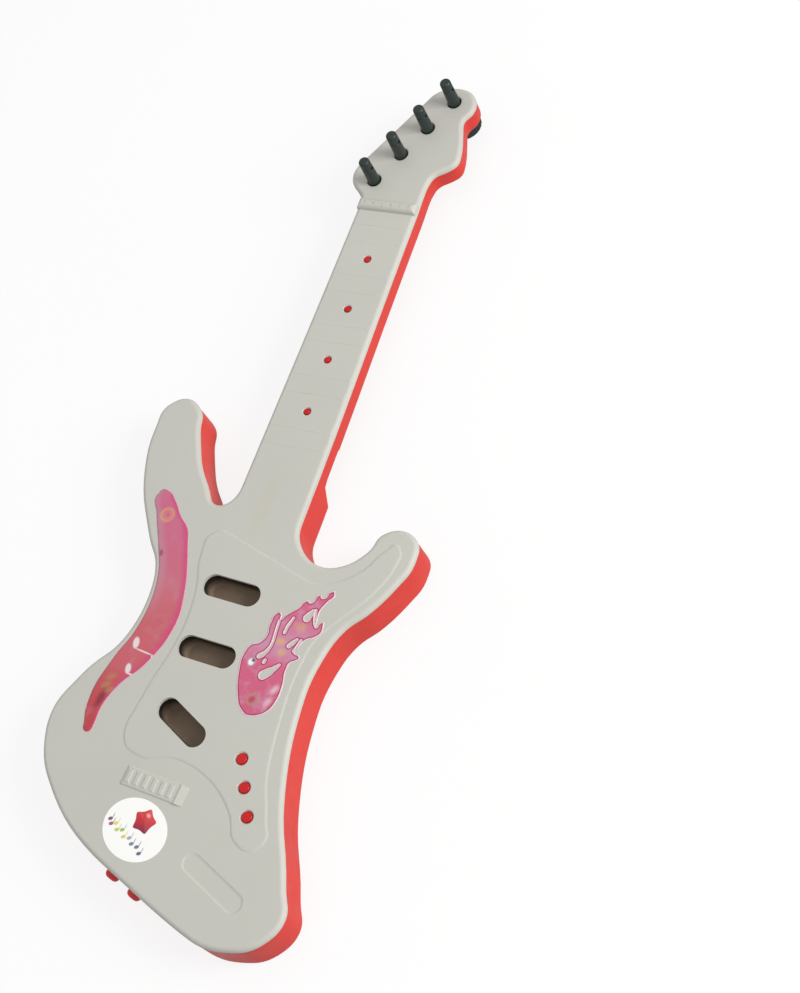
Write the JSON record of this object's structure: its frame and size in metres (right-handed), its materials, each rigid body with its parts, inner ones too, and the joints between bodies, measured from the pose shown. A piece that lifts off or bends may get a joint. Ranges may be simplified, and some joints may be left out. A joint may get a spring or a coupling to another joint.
{
  "type": "toy electric guitar",
  "caption": "Toy electric guitar with a two-part moulded body, press buttons on neck and body, turning tuning pegs, side dials, pickup slots, a speaker and a battery door.",
  "frame": {"origin": "on the flat back, under the middle of the body, on the neck's centre line", "axes": "+Z out of the face, +Y up the neck to the headstock, +X to the right seen from the front"},
  "size_m": [0.2271, 0.642, 0.056],
  "materials": {
    "cover_white": "smooth satin moulding",
    "shell_red": "satin moulding",
    "knob_red": "glossy moulding",
    "slot_black": "glossy dark moulding",
    "peg_black": "glossy dark moulding",
    "button": "satin moulding",
    "flame_foil": "printed foil decal",
    "swoosh_foil": "printed foil decal",
    "label_foil": "printed paper decal",
    "circuit_board": "lacquered laminate",
    "board_black": "matte moulded parts",
    "pad_rubber": "moulded silicone rubber",
    "screw_steel": "plated steel",
    "speaker_black": "matte",
    "speaker_magnet": "ferrite",
    "tray_plastic": "matte moulding",
    "door_red": "satin moulding",
    "battery_case": "printed metal sleeve",
    "wire_sleeve": "soft sleeve"
  },
  "bodies": {
    "shells": {"front_cover": "cover_white", "rear_shell": "shell_red", "main_circuit_board": "circuit_board", "board_parts": "board_black", "neck_circuit_board": "circuit_board", "body_contact_pad": "pad_rubber", "neck_contact_pads": "pad_rubber", "board_screws": "screw_steel", "speaker_frame": "speaker_black", "speaker_cone": "speaker_black", "speaker_magnet": "speaker_magnet", "battery_tray": "tray_plastic", "batteries": "battery_case", "battery_contacts": "screw_steel", "case_screws": "screw_steel", "flame_sticker": "flame_foil", "swoosh_sticker": "swoosh_foil", "printed_label": "label_foil", "neck_cable": "wire_sleeve", "speaker_wires": "wire_sleeve", "knob_wires": "wire_sleeve", "battery_wires": "wire_sleeve", "pickup_insert_1": "slot_black", "pickup_insert_2": "slot_black", "pickup_insert_3": "slot_black", "volume_control": "board_black", "tempo_control": "board_black"},
    "body_button_1_body": {"body_button_1": "button"},
    "body_button_2_body": {"body_button_2": "button"},
    "body_button_3_body": {"body_button_3": "button"},
    "neck_button_1_body": {"neck_button_1": "button"},
    "neck_button_2_body": {"neck_button_2": "button"},
    "neck_button_3_body": {"neck_button_3": "button"},
    "neck_button_4_body": {"neck_button_4": "button"},
    "tuning_peg_1": {"tuning_post_1": "peg_black", "tuning_knob_1": "peg_black"},
    "tuning_peg_2": {"tuning_post_2": "peg_black", "tuning_knob_2": "peg_black"},
    "tuning_peg_3": {"tuning_post_3": "peg_black", "tuning_knob_3": "peg_black"},
    "tuning_peg_4": {"tuning_post_4": "peg_black", "tuning_knob_4": "peg_black"},
    "volume_dial": {"volume_knob": "knob_red"},
    "tempo_dial": {"tempo_knob": "knob_red"},
    "battery_cover": {"battery_door": "door_red", "battery_door_screw": "screw_steel"}
  },
  "joints": [
    {"name": "body_button_1_press", "type": "slide", "parent": "shells", "child": "body_button_1_body", "axis": [0, 0, -1], "range_m": [0, 0.0015], "stiffness_N_per_m": 300, "springref_m": -0.001},
    {"name": "body_button_2_press", "type": "slide", "parent": "shells", "child": "body_button_2_body", "axis": [0, 0, -1], "range_m": [0, 0.0015], "stiffness_N_per_m": 300, "springref_m": -0.001},
    {"name": "body_button_3_press", "type": "slide", "parent": "shells", "child": "body_button_3_body", "axis": [0, 0, -1], "range_m": [0, 0.0015], "stiffness_N_per_m": 300, "springref_m": -0.001},
    {"name": "neck_button_1_press", "type": "slide", "parent": "shells", "child": "neck_button_1_body", "axis": [0, 0, -1], "range_m": [0, 0.0015], "stiffness_N_per_m": 300, "springref_m": -0.001},
    {"name": "neck_button_2_press", "type": "slide", "parent": "shells", "child": "neck_button_2_body", "axis": [0, 0, -1], "range_m": [0, 0.0015], "stiffness_N_per_m": 300, "springref_m": -0.001},
    {"name": "neck_button_3_press", "type": "slide", "parent": "shells", "child": "neck_button_3_body", "axis": [0, 0, -1], "range_m": [0, 0.0015], "stiffness_N_per_m": 300, "springref_m": -0.001},
    {"name": "neck_button_4_press", "type": "slide", "parent": "shells", "child": "neck_button_4_body", "axis": [0, 0, -1], "range_m": [0, 0.0015], "stiffness_N_per_m": 300, "springref_m": -0.001},
    {"name": "tuning_peg_1_turn", "type": "hinge", "parent": "shells", "child": "tuning_peg_1", "pos_m": [-0.0187, 0.3753, 0], "axis": [0, 0, 1], "continuous": true},
    {"name": "tuning_peg_2_turn", "type": "hinge", "parent": "shells", "child": "tuning_peg_2", "pos_m": [-0.0059, 0.3997, 0], "axis": [0, 0, 1], "continuous": true},
    {"name": "tuning_peg_3_turn", "type": "hinge", "parent": "shells", "child": "tuning_peg_3", "pos_m": [0.0069, 0.4241, 0], "axis": [0, 0, 1], "continuous": true},
    {"name": "tuning_peg_4_turn", "type": "hinge", "parent": "shells", "child": "tuning_peg_4", "pos_m": [0.0197, 0.4485, 0], "axis": [0, 0, 1], "continuous": true},
    {"name": "volume_turn", "type": "hinge", "parent": "shells", "child": "volume_dial", "pos_m": [-0.01692, -0.14899, 0.014], "axis": [-0.3657, -0.9308, 0], "range_deg": [-140, 140]},
    {"name": "tempo_turn", "type": "hinge", "parent": "shells", "child": "tempo_dial", "pos_m": [0.00309, -0.15685, 0.014], "axis": [-0.3657, -0.9308, 0], "range_deg": [-140, 140]},
    {"name": "battery_door_lift", "type": "slide", "parent": "shells", "child": "battery_cover", "axis": [0, 0, -1], "range_m": [0, 0.02]}
  ]
}
